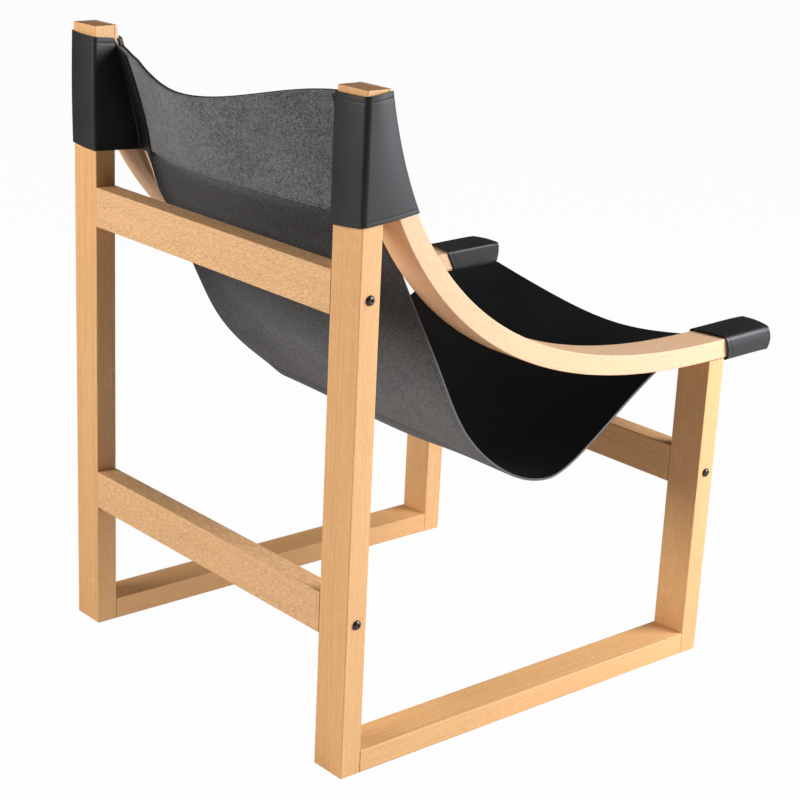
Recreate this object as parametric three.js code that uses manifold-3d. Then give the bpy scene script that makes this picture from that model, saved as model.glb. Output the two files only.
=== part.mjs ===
// Sling lounge chair: two timber side frames, three bolted cross rails and a hide sling hung from four
// sleeves. Millimetres, +Z up. The sitter faces -Y, with the right hand at -X. Depths are measured forward
// from the back of the rear posts, so a depth is a place at -Y.
import * as THREE from "three";
import { mergeVertices } from "three/addons/utils/BufferGeometryUtils.js";
import Module from "manifold-3d";

const wasm = await Module();
wasm.setup();

// Frame sizes
const CHAIR_WIDTH = 580;
const POST_HEIGHT = 810;
const FRAME_DEPTH = 624;
const STOCK_WIDTH = 51;
const STOCK_THICKNESS = 29;
const UPPER_RAIL_BELOW_SLEEVE = 51.5;
const LOWER_RAIL_HEIGHT = 196;
const FRONT_RAIL_HEIGHT = 260;
const JOINT_GAP = 0.3;
const CUT_OVERRUN = 10;
const BAR_SIDES = 16;

// Arm: one bent piece, its centre line a single curve from the post's top to the tip
const ARM_THICKNESS = 25.5;
const ARM_TIP_HEIGHT = 431;
const ARM_OVERHANG = 88;
const ARM_FEATHER = 3;
const ARM_DROP = 450;
const ARM_LEAN = 79;
const ARM_LEVEL_REACH = 112;
const ARM_LEVEL_RISE = 5;
const ARM_STEPS = 40;
const ARM_SEARCH_STEPS = 40;

// Rail fastenings
const BOLT_RADIUS = 3;
const BOLT_REACH = 36;
const HEAD_RADIUS = 6;
const HEAD_HEIGHT = 3.4;
const HEAD_SIDES = 24;
const HEAD_STEPS = 6;
const SOCKET_WIDTH = 4;
const SOCKET_DEPTH = 2;
const SOCKET_SIDES = 6;
const NUT_RADIUS = 5;
const NUT_LENGTH = 18;
const NUT_SIDES = 20;
const NUT_INSET = 28;
const NUT_ROOM = 4;
const RAIL_DOWEL_RADIUS = 4;
const RAIL_DOWEL_LENGTH = 44;
const RAIL_DOWEL_SPACING = 32;
const FIT = 0.3;
const MERGE_DISTANCE = 1e-4;

// Side frame joinery
const TENON_WIDTH = 32;
const TENON_THICKNESS = 10;
const TENON_DEPTH = 13;
const TENON_END_STEPS = 6;
const ARM_DOWEL_RADIUS = 4;
const ARM_DOWEL_LENGTH = 22;
const ARM_DOWEL_BELOW_TOP = 54;
const ARM_DOWEL_SPACING = 22;

// Hide
const HIDE = 3;
const SKIVED_HIDE = 2.2;
const FOLD_RADIUS = 0.6;
const SLEEVE_GAP = 0.3;
const CORNER_STEPS = 3;
const SLEEVE_STEPS = 6;

// Heights of a rear sleeve's two rims at its four corners, as drops below the post's top
const REAR_RIM_TOP = { innerFront: 12, outerFront: 3, outerBack: 8.5, innerBack: 10.5 };
const REAR_RIM_BOTTOM = { innerFront: 156, outerFront: 138, outerBack: 148, innerBack: 151 };

// Ends of a front sleeve at its four corners, as setbacks from the arm's tip
const FRONT_RIM_REAR = { innerTop: 97, outerTop: 93, outerBottom: 87, innerBottom: 87 };
const FRONT_RIM_FRONT = { innerTop: -3, outerTop: 8, outerBottom: 6, innerBottom: -1 };

// Sling's side edge: held along a seam on each rear sleeve, free down to its lowest point and up to the arm
const EDGE_TOP_SETBACK = 14;
const EDGE_FOOT_SETBACK = 22;
const EDGE_REAR_HANDLE = { forward: 59, down: 93 };
const EDGE_LOWEST = { depth: 362, drop: 139, reachBack: 141, reachForward: 45 };
const EDGE_FRONT_HANDLE = { back: 77, down: 35 };
const EDGE_FRONT_LEAD = 25;
const EDGE_FLARE = 14;
const EDGE_WAIST = 24;
const WAIST_PLACE_SHARE = 0.48;
const WAIST_SPREAD_SHARE = 0.13;

// Sling's middle line, from level with the sleeves' tops; its top edge is cut hollow
const MIDDLE_TOP = { back: 52, drop: 5 };
const MIDDLE_TOP_HANDLE = { forward: 76, down: 195 };
const MIDDLE_LOWEST = { depth: 362, drop: 154, reachBack: 91, reachForward: 90 };
const MIDDLE_FRONT = { forward: 12, drop: 53 };
const MIDDLE_FRONT_HANDLE = { back: 158, down: 8 };
const TOP_HOLLOW = 44;
const HELD_TIGHTNESS = 4.5;
const FREE_TIGHTNESS = 2;
const HELD_STEPS = 5;
const FREE_STEPS = 31;
const SLING_STEPS_ACROSS = 14;
const SLOPE_SHARE = 1e-3;

// What follows from the sizes above
const SIDE_X = CHAIR_WIDTH / 2 - STOCK_WIDTH / 2;
const INNER_X = CHAIR_WIDTH / 2 - STOCK_WIDTH;
const RAIL_LENGTH = 2 * (INNER_X - JOINT_GAP);
const LEG_DEPTH = FRAME_DEPTH - STOCK_THICKNESS / 2;
const UPPER_RAIL_DROP = REAR_RIM_BOTTOM.innerBack + UPPER_RAIL_BELOW_SLEEVE + STOCK_WIDTH / 2;
const RAILS = [
  { name: "upper_rear_rail", depth: STOCK_THICKNESS / 2, height: POST_HEIGHT - UPPER_RAIL_DROP },
  { name: "lower_rear_rail", depth: STOCK_THICKNESS / 2, height: LOWER_RAIL_HEIGHT },
  { name: "front_rail", depth: LEG_DEPTH, height: FRONT_RAIL_HEIGHT },
];
const SIDES = [
  { name: "right", sign: -1 },
  { name: "left", sign: 1 },
];

const OAK = new THREE.MeshStandardMaterial({ color: 0xd9a66f, roughness: 0.55, metalness: 0 });
const DOWEL_WOOD = new THREE.MeshStandardMaterial({ color: 0xdfc39a, roughness: 0.7, metalness: 0 });
const HIDE_GRAIN = new THREE.MeshStandardMaterial({ color: 0x17181a, roughness: 0.4, metalness: 0 });
const HIDE_SUEDE = new THREE.MeshStandardMaterial({ color: 0x3a3b3f, roughness: 0.95, metalness: 0 });
const DARK_STEEL = new THREE.MeshStandardMaterial({ color: 0x2b2623, roughness: 0.35, metalness: 0.9 });
const ZINC_STEEL = new THREE.MeshStandardMaterial({ color: 0xb9bcc0, roughness: 0.4, metalness: 1 });

const place = (depth, height) => new THREE.Vector3(0, -depth, height);

function solidOf(geometry) {
  const plain = geometry.clone();
  plain.deleteAttribute("normal");
  plain.deleteAttribute("uv");
  const merged = mergeVertices(plain, MERGE_DISTANCE);
  const corners = Array.from(merged.index.array);
  const triangles = corners.flatMap((a, i) => (i % 3 === 0 ? [[a, corners[i + 1], corners[i + 2]]] : []));
  const whole = triangles.filter(([a, b, c]) => a !== b && b !== c && c !== a);
  return new wasm.Manifold(
    new wasm.Mesh({
      numProp: 3,
      vertProperties: new Float32Array(merged.attributes.position.array),
      triVerts: new Uint32Array(whole.flat()),
    }),
  );
}

function geometryOf(solid) {
  const mesh = solid.getMesh();
  const geometry = new THREE.BufferGeometry();
  geometry.setAttribute("position", new THREE.BufferAttribute(new Float32Array(mesh.vertProperties), 3));
  geometry.setIndex(new THREE.BufferAttribute(new Uint32Array(mesh.triVerts), 1));
  geometry.computeVertexNormals();
  return geometry;
}

// Takes every tool away from a blank
function cut(blank, tools) {
  let solid = solidOf(blank);
  for (const tool of tools) {
    solid = solid.subtract(solidOf(tool));
  }
  return geometryOf(solid);
}

function pieceOf(name, geometry, material) {
  const mesh = new THREE.Mesh(geometry, material);
  mesh.name = name;
  return mesh;
}

// A box by its size across, its depth range and its height range
function timber(width, depths, heights) {
  const geometry = new THREE.BoxGeometry(width, depths[1] - depths[0], heights[1] - heights[0]);
  return geometry.translate(0, -(depths[0] + depths[1]) / 2, (heights[0] + heights[1]) / 2);
}

// A round bar along X, Y or Z, centred on the origin
function roundBar(radius, length, axis, sides = BAR_SIDES) {
  const geometry = new THREE.CylinderGeometry(radius, radius, length, sides);
  if (axis === "x") {
    geometry.rotateZ(Math.PI / 2);
  } else if (axis === "z") {
    geometry.rotateX(Math.PI / 2);
  }
  return geometry;
}

function moved(geometry, x, depth, height) {
  return geometry.clone().translate(x, -depth, height);
}

// The arm's centre line in the side view, x forward as a depth and y up
const ARM_LINE = new THREE.CubicBezierCurve(
  new THREE.Vector2(STOCK_THICKNESS + ARM_FEATHER - ARM_THICKNESS / 2, POST_HEIGHT),
  new THREE.Vector2(STOCK_THICKNESS + ARM_FEATHER - ARM_THICKNESS / 2 + ARM_LEAN, POST_HEIGHT - ARM_DROP),
  new THREE.Vector2(FRAME_DEPTH + ARM_OVERHANG - ARM_LEVEL_REACH, ARM_TIP_HEIGHT + ARM_LEVEL_RISE),
  new THREE.Vector2(FRAME_DEPTH + ARM_OVERHANG, ARM_TIP_HEIGHT),
);

// A point of the arm: side is 1 on the upper, front face, 0 on the centre line and -1 on the lower, rear face
function armPoint(share, side, thickness = ARM_THICKNESS) {
  const along = ARM_LINE.getTangent(share);
  const outward = new THREE.Vector2(-along.y, along.x).multiplyScalar((side * thickness) / 2);
  return ARM_LINE.getPoint(share).add(outward);
}

// The point of the arm at a depth (coordinate "x") or at a height (coordinate "y")
function armPointAt(value, coordinate, side) {
  const rising = armPoint(1, side)[coordinate] > armPoint(0, side)[coordinate];
  let low = 0;
  let high = 1;
  for (let i = 0; i < ARM_SEARCH_STEPS; i += 1) {
    const middle = (low + high) / 2;
    if (armPoint(middle, side)[coordinate] < value === rising) {
      low = middle;
    } else {
      high = middle;
    }
  }
  return armPoint(low, side);
}

// The arm's body before its top is bedded on the post
function armBlank(width, thickness) {
  const outline = [];
  for (let i = 0; i <= ARM_STEPS; i += 1) {
    outline.push(armPoint(i / ARM_STEPS, 1, thickness));
  }
  for (let i = ARM_STEPS; i >= 0; i -= 1) {
    outline.push(armPoint(i / ARM_STEPS, -1, thickness));
  }
  const shape = new THREE.Shape(outline);
  const geometry = new THREE.ExtrudeGeometry(shape, { depth: width, bevelEnabled: false });
  geometry.translate(0, 0, -width / 2);
  const axes = new THREE.Matrix4().makeBasis(
    new THREE.Vector3(0, -1, 0),
    new THREE.Vector3(0, 0, 1),
    new THREE.Vector3(-1, 0, 0),
  );
  return geometry.applyMatrix4(axes);
}

// A stadium-shaped loose tenon or its pocket, lying along Y with its width along X
function looseTenon(width, thickness, length) {
  const radius = thickness / 2;
  const reach = width / 2 - radius;
  const shape = new THREE.Shape();
  shape.absarc(reach, 0, radius, -Math.PI / 2, Math.PI / 2);
  shape.absarc(-reach, 0, radius, Math.PI / 2, (3 * Math.PI) / 2);
  const options = { depth: length, bevelEnabled: false, curveSegments: TENON_END_STEPS };
  const geometry = new THREE.ExtrudeGeometry(shape, options);
  geometry.translate(0, 0, -length / 2);
  return geometry.rotateX(Math.PI / 2);
}

const tenonPiece = () => looseTenon(TENON_WIDTH, TENON_THICKNESS, 2 * TENON_DEPTH);
const tenonPocket = () =>
  looseTenon(TENON_WIDTH + 2 * FIT, TENON_THICKNESS + 2 * FIT, 2 * (TENON_DEPTH + FIT));

// The three loose tenons of a side frame: where each is centred and whether it stands upright
const TENONS = [
  { name: "post_tenon", depth: STOCK_THICKNESS, height: STOCK_THICKNESS / 2, upright: false },
  { name: "leg_tenon", depth: FRAME_DEPTH - STOCK_THICKNESS, height: STOCK_THICKNESS / 2, upright: false },
  { name: "arm_tenon", depth: LEG_DEPTH, height: armPointAt(LEG_DEPTH, "x", -1).y, upright: true },
];

// The two dowels that bed the arm's taper on the post
const ARM_DOWEL_HEIGHTS = [0, 1].map((i) => POST_HEIGHT - ARM_DOWEL_BELOW_TOP - i * ARM_DOWEL_SPACING);

function tenonAt(tenon, geometry) {
  if (tenon.upright) {
    geometry.rotateX(Math.PI / 2);
  }
  return moved(geometry, 0, tenon.depth, tenon.height);
}

const sidePockets = (...names) =>
  TENONS.filter((tenon) => names.includes(tenon.name)).map((tenon) => tenonAt(tenon, tenonPocket()));

const armDowelHoles = () =>
  ARM_DOWEL_HEIGHTS.map((height) =>
    moved(roundBar(ARM_DOWEL_RADIUS + FIT, ARM_DOWEL_LENGTH + 2 * FIT, "y"), 0, STOCK_THICKNESS, height),
  );

// Holes that a rail's bolt and dowels need in a post or leg; inward is the side that faces the rail
function railHoles(rail, inward) {
  const face = (inward * STOCK_WIDTH) / 2;
  const through = roundBar(BOLT_RADIUS + FIT, STOCK_WIDTH + 2 * CUT_OVERRUN, "x");
  const holes = [moved(through, 0, rail.depth, rail.height)];
  for (const up of [-1, 1]) {
    const blind = roundBar(RAIL_DOWEL_RADIUS + FIT, RAIL_DOWEL_LENGTH + 2 * FIT, "x");
    holes.push(moved(blind, face, rail.depth, rail.height + (up * RAIL_DOWEL_SPACING) / 2));
  }
  return holes;
}

function rearPost(inward) {
  const blank = timber(STOCK_WIDTH, [0, STOCK_THICKNESS], [0, POST_HEIGHT]);
  const holes = RAILS.filter((rail) => rail.depth < LEG_DEPTH).flatMap((rail) => railHoles(rail, inward));
  return cut(blank, [...holes, ...sidePockets("post_tenon"), ...armDowelHoles()]);
}

// The leg's top is scribed to the arm's underside
function frontLeg(inward) {
  const depths = [FRAME_DEPTH - STOCK_THICKNESS, FRAME_DEPTH];
  const blank = timber(STOCK_WIDTH, depths, [0, armPointAt(LEG_DEPTH, "x", 0).y]);
  const seat = armBlank(STOCK_WIDTH + 2 * CUT_OVERRUN, ARM_THICKNESS + 2 * JOINT_GAP);
  const holes = RAILS.filter((rail) => rail.depth === LEG_DEPTH).flatMap((rail) => railHoles(rail, inward));
  return cut(blank, [seat, ...holes, ...sidePockets("leg_tenon", "arm_tenon")]);
}

function floorRunner() {
  const depths = [STOCK_THICKNESS + JOINT_GAP, FRAME_DEPTH - STOCK_THICKNESS - JOINT_GAP];
  return cut(timber(STOCK_WIDTH, depths, [0, STOCK_THICKNESS]), sidePockets("post_tenon", "leg_tenon"));
}

// The arm is tapered where it beds on the post and cut level with the post's top
function arm() {
  const blank = armBlank(STOCK_WIDTH, ARM_THICKNESS);
  const wide = STOCK_WIDTH + 2 * CUT_OVERRUN;
  const top = POST_HEIGHT + CUT_OVERRUN;
  const bed = timber(wide, [-CUT_OVERRUN, STOCK_THICKNESS + JOINT_GAP], [ARM_TIP_HEIGHT, top]);
  const above = timber(wide, [-CUT_OVERRUN, FRAME_DEPTH], [POST_HEIGHT, top]);
  return cut(blank, [bed, above, ...sidePockets("arm_tenon"), ...armDowelHoles()]);
}

function sideFrame(side) {
  const frame = new THREE.Group();
  frame.position.x = side.sign * SIDE_X;
  frame.add(pieceOf(`rear_post_${side.name}`, rearPost(-side.sign), OAK));
  frame.add(pieceOf(`front_leg_${side.name}`, frontLeg(-side.sign), OAK));
  frame.add(pieceOf(`floor_runner_${side.name}`, floorRunner(), OAK));
  frame.add(pieceOf(`arm_${side.name}`, arm(), OAK));
  for (const tenon of TENONS) {
    frame.add(pieceOf(`${tenon.name}_${side.name}`, tenonAt(tenon, tenonPiece()), DOWEL_WOOD));
  }
  ARM_DOWEL_HEIGHTS.forEach((height, i) => {
    const bar = roundBar(ARM_DOWEL_RADIUS, ARM_DOWEL_LENGTH, "y");
    const dowel = pieceOf(`arm_dowel_${side.name}_${i + 1}`, bar, DOWEL_WOOD);
    dowel.position.copy(place(STOCK_THICKNESS, height));
    frame.add(dowel);
  });
  return frame;
}

// A rail centred on the origin: bolt holes and dowel holes in both ends, nut holes up from the underside
function railBody() {
  const blank = new THREE.BoxGeometry(RAIL_LENGTH, STOCK_THICKNESS, STOCK_WIDTH);
  const tools = [];
  for (const end of [-1, 1]) {
    const boltRoom = 2 * (BOLT_REACH + NUT_ROOM);
    tools.push(roundBar(BOLT_RADIUS + FIT, boltRoom, "x").translate(end * INNER_X, 0, 0));
    const nutHole = roundBar(NUT_RADIUS + FIT, STOCK_WIDTH, "z");
    nutHole.translate(end * (INNER_X - NUT_INSET), 0, NUT_LENGTH / 2 + FIT - STOCK_WIDTH / 2);
    tools.push(nutHole);
    for (const up of [-1, 1]) {
      const dowelHole = roundBar(RAIL_DOWEL_RADIUS + FIT, RAIL_DOWEL_LENGTH + 2 * FIT, "x");
      tools.push(dowelHole.translate(end * INNER_X, 0, (up * RAIL_DOWEL_SPACING) / 2));
    }
  }
  return cut(blank, tools);
}

// A button-head bolt along X with its bearing face at the origin, its shank running towards -X
function railBolt() {
  const length = STOCK_WIDTH + BOLT_REACH;
  const profile = [new THREE.Vector2(0, -length), new THREE.Vector2(BOLT_RADIUS, -length)];
  profile.push(new THREE.Vector2(BOLT_RADIUS, FIT), new THREE.Vector2(HEAD_RADIUS, FIT));
  for (let i = 1; i <= HEAD_STEPS; i += 1) {
    const turn = (i / HEAD_STEPS) * (Math.PI / 2);
    profile.push(new THREE.Vector2(HEAD_RADIUS * Math.cos(turn), FIT + HEAD_HEIGHT * Math.sin(turn)));
  }
  profile[profile.length - 1].x = 0;
  const body = new THREE.LatheGeometry(profile, HEAD_SIDES).rotateZ(-Math.PI / 2);
  const socket = roundBar(SOCKET_WIDTH / 2, 2 * SOCKET_DEPTH, "x", SOCKET_SIDES);
  return cut(body, [socket.translate(FIT + HEAD_HEIGHT, 0, 0)]);
}

// A barrel nut standing in the rail, bored crosswise for the bolt
function barrelNut() {
  const bore = roundBar(BOLT_RADIUS + FIT, 2 * (NUT_RADIUS + CUT_OVERRUN), "x");
  return cut(roundBar(NUT_RADIUS, NUT_LENGTH, "z", NUT_SIDES), [bore]);
}

function crossRail(rail) {
  const group = new THREE.Group();
  group.position.copy(place(rail.depth, rail.height));
  group.add(pieceOf(rail.name, railBody(), OAK));
  for (const side of SIDES) {
    const label = `${rail.name}_${side.name}`;
    const bolt = pieceOf(`${label}_bolt`, railBolt(), DARK_STEEL);
    bolt.position.x = (side.sign * CHAIR_WIDTH) / 2;
    bolt.rotation.z = side.sign > 0 ? 0 : Math.PI;
    const nut = pieceOf(`${label}_nut`, barrelNut(), ZINC_STEEL);
    nut.position.x = side.sign * (INNER_X - NUT_INSET);
    group.add(bolt, nut);
    for (const up of [-1, 1]) {
      const level = up > 0 ? "upper" : "lower";
      const bar = roundBar(RAIL_DOWEL_RADIUS, RAIL_DOWEL_LENGTH, "x");
      const dowel = pieceOf(`${label}_${level}_dowel`, bar, DOWEL_WOOD);
      dowel.position.set(side.sign * INNER_X, 0, (up * RAIL_DOWEL_SPACING) / 2);
      group.add(dowel);
    }
  }
  return group;
}

// Turns a closed surface's faces outwards, whichever way its rows ran
function outwards(positions, triangles) {
  const corner = (i) => new THREE.Vector3().fromArray(positions, 3 * i);
  let volume = 0;
  for (let i = 0; i < triangles.length; i += 3) {
    const [a, b, c] = triangles.slice(i, i + 3).map(corner);
    volume += a.dot(b.cross(c));
  }
  const geometry = new THREE.BufferGeometry();
  geometry.setAttribute("position", new THREE.Float32BufferAttribute(positions, 3));
  geometry.setIndex(volume < 0 ? triangles.reverse() : triangles);
  geometry.computeVertexNormals();
  return geometry;
}

// The four-sided patch between two neighbouring points on each of two rows, as two triangles
const patch = (a, b, c, d) => [a, b, c, a, c, d];

// A ring-shaped wall: rows of points run up its outer skin and down its inner one, and close on the first
function wallGeometry(outerRows, innerRows) {
  const rows = [...outerRows, ...innerRows.slice().reverse()];
  const count = rows[0].length;
  const triangles = [];
  rows.forEach((_, row) => {
    const next = (row + 1) % rows.length;
    for (let i = 0; i < count; i += 1) {
      const j = (i + 1) % count;
      triangles.push(...patch(row * count + i, row * count + j, next * count + j, next * count + i));
    }
  });
  return outwards(rows.flat().flatMap((point) => point.toArray()), triangles);
}

// A sheet with thickness: each row runs across its face and back across its other face, both cut alike into
// triangles
function sheetGeometry(rows) {
  const count = rows[0].length;
  const triangles = [];
  for (let row = 0; row + 1 < rows.length; row += 1) {
    for (let i = 0; i < count; i += 1) {
      const j = (i + 1) % count;
      const [near, far] = [row * count + i, row * count + j];
      const corners = [near, far, far + count, near + count];
      triangles.push(...(i < count / 2 ? patch(...corners) : patch(...corners.slice(1), near)));
    }
  }
  const last = (rows.length - 1) * count;
  for (let i = 0; i + 1 < count / 2; i += 1) {
    const [near, far] = [i, i + 1];
    triangles.push(...patch(near, count - 1 - near, count - 1 - far, far));
    triangles.push(...patch(last + far, last + count - 1 - far, last + count - 1 - near, last + near));
  }
  return outwards(rows.flat().flatMap((point) => point.toArray()), triangles);
}

// A rectangle with rounded corners, centred on the origin
function roundedRing(width, length, radius) {
  const corners = [
    [1, 1],
    [-1, 1],
    [-1, -1],
    [1, -1],
  ];
  return corners.flatMap(([signX, signY], quarter) =>
    Array.from({ length: CORNER_STEPS + 1 }, (_, i) => {
      const turn = ((quarter + i / CORNER_STEPS) * Math.PI) / 2;
      const centre = new THREE.Vector2(signX * (width / 2 - radius), signY * (length / 2 - radius));
      return centre.add(new THREE.Vector2(Math.cos(turn), Math.sin(turn)).multiplyScalar(radius));
    }),
  );
}

// A hide wall wrapped round a timber of the given section; put() gives each point's place from its shares
function sleeveWall(width, length, put) {
  const rows = (cover) =>
    Array.from({ length: SLEEVE_STEPS + 1 }, (_, step) => {
      const [wide, long] = [width + 2 * cover, length + 2 * cover];
      return roundedRing(wide, long, FOLD_RADIUS + cover - SLEEVE_GAP).map((point) => {
        const [across, along] = [point.x / wide + 1 / 2, point.y / long + 1 / 2];
        return put(point, across, along, step / SLEEVE_STEPS, cover);
      });
    });
  return wallGeometry(rows(SLEEVE_GAP + SKIVED_HIDE), rows(SLEEVE_GAP));
}

const { lerp, mapLinear } = THREE.MathUtils;

// The front of a rear sleeve: the sling pulls its inner edge straight across the arm's hollow front face, and
// its outer edge follows that face
const CHORD_TOP = armPointAt(POST_HEIGHT - REAR_RIM_TOP.outerFront, "y", 1);
const CHORD_FOOT = armPointAt(POST_HEIGHT - REAR_RIM_BOTTOM.innerFront, "y", 1);
const chordDepth = (height) => mapLinear(height, CHORD_FOOT.y, CHORD_TOP.y, CHORD_FOOT.x, CHORD_TOP.x);
const rearSleeveFront = (height, across) => lerp(chordDepth(height), armPointAt(height, "y", 1).x, across);

// Wraps the rear post and the arm's top together; its rims climb towards the front outer corner
function rearSleeve(side) {
  const rim = (drops, across, along) => {
    const back = lerp(drops.innerBack, drops.outerBack, across);
    const front = lerp(drops.innerFront, drops.outerFront, across);
    return POST_HEIGHT - lerp(back, front, along);
  };
  const middle = chordDepth((CHORD_TOP.y + CHORD_FOOT.y) / 2);
  const geometry = sleeveWall(STOCK_WIDTH, middle, (point, across, along, share, cover) => {
    const height = lerp(rim(REAR_RIM_BOTTOM, across, along), rim(REAR_RIM_TOP, across, along), share);
    const depth = lerp(-cover, rearSleeveFront(height, across) + cover, along);
    return new THREE.Vector3(side.sign * point.x, -depth, height);
  });
  const sleeve = pieceOf(`rear_sleeve_${side.name}`, geometry, HIDE_GRAIN);
  sleeve.position.x = side.sign * SIDE_X;
  return sleeve;
}

// Wraps the arm in front of the leg; its ends slant, and the outer corner leaves the timber's tip bare
function frontSleeve(side) {
  const end = (setbacks, across, up) => {
    const low = lerp(setbacks.innerBottom, setbacks.outerBottom, across);
    const high = lerp(setbacks.innerTop, setbacks.outerTop, across);
    return FRAME_DEPTH + ARM_OVERHANG - lerp(low, high, up);
  };
  const geometry = sleeveWall(STOCK_WIDTH, ARM_THICKNESS, (point, across, up, share) => {
    const depth = lerp(end(FRONT_RIM_REAR, across, up), end(FRONT_RIM_FRONT, across, up), share);
    const height = armPointAt(depth, "x", 0).y + point.y;
    return new THREE.Vector3(side.sign * point.x, -depth, height);
  });
  const sleeve = pieceOf(`front_sleeve_${side.name}`, geometry, HIDE_GRAIN);
  sleeve.position.x = side.sign * SIDE_X;
  return sleeve;
}

// Two curves through a lowest point where they run level
function hangingCurves(start, startHandle, lowest, endHandle, end) {
  const low = new THREE.Vector2(lowest.depth, ARM_TIP_HEIGHT - lowest.drop);
  const behind = low.clone().sub(new THREE.Vector2(lowest.reachBack, 0));
  const ahead = low.clone().add(new THREE.Vector2(lowest.reachForward, 0));
  return [
    new THREE.CubicBezierCurve(start, start.clone().add(startHandle), behind, low),
    new THREE.CubicBezierCurve(low, ahead, end.clone().add(endHandle), end),
  ];
}

// The sling's long profile at its side edges: down a rear sleeve, free, then along under a front sleeve
const HIDE_REACH = SLEEVE_GAP + HIDE / 2;
const REAR_TOP = POST_HEIGHT - REAR_RIM_TOP.innerFront;
const REAR_FOOT = POST_HEIGHT - REAR_RIM_BOTTOM.innerFront;
const ARM_END = FRAME_DEPTH + ARM_OVERHANG;
const edgeTop = new THREE.Vector2(chordDepth(REAR_TOP) + HIDE_REACH - EDGE_TOP_SETBACK, REAR_TOP);
const edgeFoot = new THREE.Vector2(chordDepth(REAR_FOOT) + HIDE_REACH - EDGE_FOOT_SETBACK, REAR_FOOT);
const leadDepth = ARM_END - FRONT_RIM_REAR.innerTop - EDGE_FRONT_LEAD;
const underArm = (depth) => armPointAt(depth, "x", -1).y - HIDE_REACH;
const edgeLead = new THREE.Vector2(leadDepth, underArm(leadDepth));
const edgeEnd = new THREE.Vector2(ARM_END - FRONT_RIM_FRONT.innerBottom, underArm(ARM_END));
const edgeRearHandle = new THREE.Vector2(EDGE_REAR_HANDLE.forward, -EDGE_REAR_HANDLE.down);
const edgeFrontHandle = new THREE.Vector2(-EDGE_FRONT_HANDLE.back, -EDGE_FRONT_HANDLE.down);
const EDGE_LINE = new THREE.CurvePath();
EDGE_LINE.curves = [
  new THREE.LineCurve(edgeTop, edgeFoot),
  ...hangingCurves(edgeFoot, edgeRearHandle, EDGE_LOWEST, edgeFrontHandle, edgeLead),
  new THREE.LineCurve(edgeLead, edgeEnd),
];

// The sling's long profile down its middle
const middleTop = new THREE.Vector2(-MIDDLE_TOP.back, POST_HEIGHT - MIDDLE_TOP.drop);
const middleEnd = new THREE.Vector2(ARM_END + MIDDLE_FRONT.forward, ARM_TIP_HEIGHT - MIDDLE_FRONT.drop);
const middleTopHandle = new THREE.Vector2(MIDDLE_TOP_HANDLE.forward, -MIDDLE_TOP_HANDLE.down);
const middleFrontHandle = new THREE.Vector2(-MIDDLE_FRONT_HANDLE.back, -MIDDLE_FRONT_HANDLE.down);
const MIDDLE_LINE = new THREE.CurvePath();
MIDDLE_LINE.curves = hangingCurves(middleTop, middleTopHandle, MIDDLE_LOWEST, middleFrontHandle, middleEnd);

// Where the free stretch of the side edge starts and ends, as shares of the whole edge
const EDGE_LENGTH = EDGE_LINE.getLength();
const REAR_HELD = edgeTop.distanceTo(edgeFoot) / EDGE_LENGTH;
const FRONT_HELD = 1 - edgeLead.distanceTo(edgeEnd) / EDGE_LENGTH;
const HOLLOW_SHARE = TOP_HOLLOW / MIDDLE_LINE.getLength();

// Half the width across the arms; the free edge spreads below the arms and draws in round the seat
const SLING_HALF_WIDTH = INNER_X - SLEEVE_GAP - SKIVED_HIDE - SLEEVE_GAP;
function slingHalfWidth(along) {
  const free = THREE.MathUtils.clamp(mapLinear(along, REAR_HELD, FRONT_HELD, 0, 1), 0, 1);
  const flare = EDGE_FLARE * Math.sin(Math.PI * free) ** 2;
  const waist = EDGE_WAIST * Math.exp(-(((free - WAIST_PLACE_SHARE) / WAIST_SPREAD_SHARE) ** 2));
  return SLING_HALF_WIDTH + flare - waist;
}

// A point midway through the sling's thickness, from its shares across (-1 to 1) and along (0 at the top)
function slingMiddle(across, along) {
  const held = THREE.MathUtils.clamp(1 - along / REAR_HELD, 0, 1);
  const cutAlong = along + (held * HOLLOW_SHARE * (1 + Math.cos(Math.PI * across))) / 2;
  const tightness = lerp(FREE_TIGHTNESS, HELD_TIGHTNESS, held);
  const towardsEdge = (Math.hypot(1, tightness * across) - 1) / (Math.hypot(1, tightness) - 1);
  const profile = MIDDLE_LINE.getPoint(cutAlong).lerp(EDGE_LINE.getPoint(cutAlong), towardsEdge);
  return new THREE.Vector3(across * slingHalfWidth(along), -profile.x, profile.y);
}

// The same point moved through the hide towards the sitter, kept at its own place across the chair
function slingPoint(across, along, offset) {
  const [left, right] = [Math.max(-1, across - SLOPE_SHARE), Math.min(1, across + SLOPE_SHARE)];
  const [above, below] = [Math.max(0, along - SLOPE_SHARE), Math.min(1, along + SLOPE_SHARE)];
  const sideways = slingMiddle(right, along).sub(slingMiddle(left, along));
  const downwards = slingMiddle(across, below).sub(slingMiddle(across, above));
  const normal = downwards.cross(sideways).normalize();
  const lean = new THREE.Vector3(0, normal.y, normal.z);
  return slingMiddle(across, along).addScaledVector(lean, offset / lean.lengthSq());
}

// The rows of a sheet as shares of the sling's length: some down the rear sleeves, then the free stretch
const HELD_ROWS = Array.from({ length: HELD_STEPS + 1 }, (_, i) => (REAR_HELD * i) / HELD_STEPS);
const FREE_ROWS = Array.from({ length: FREE_STEPS }, (_, i) => lerp(REAR_HELD, 1, (i + 1) / FREE_STEPS));

// A stretch of hide with the sling's shape, as rows at shares of the sling's length
function slingSheet(shares, offset) {
  const rows = shares.map((along) => {
    const across = Array.from({ length: SLING_STEPS_ACROSS + 1 }, (_, i) => (2 * i) / SLING_STEPS_ACROSS - 1);
    const face = across.map((share) => slingPoint(share, along, offset + HIDE / 2));
    const back = across.reverse().map((share) => slingPoint(share, along, offset - HIDE / 2));
    return [...face, ...back];
  });
  return sheetGeometry(rows);
}

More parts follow.
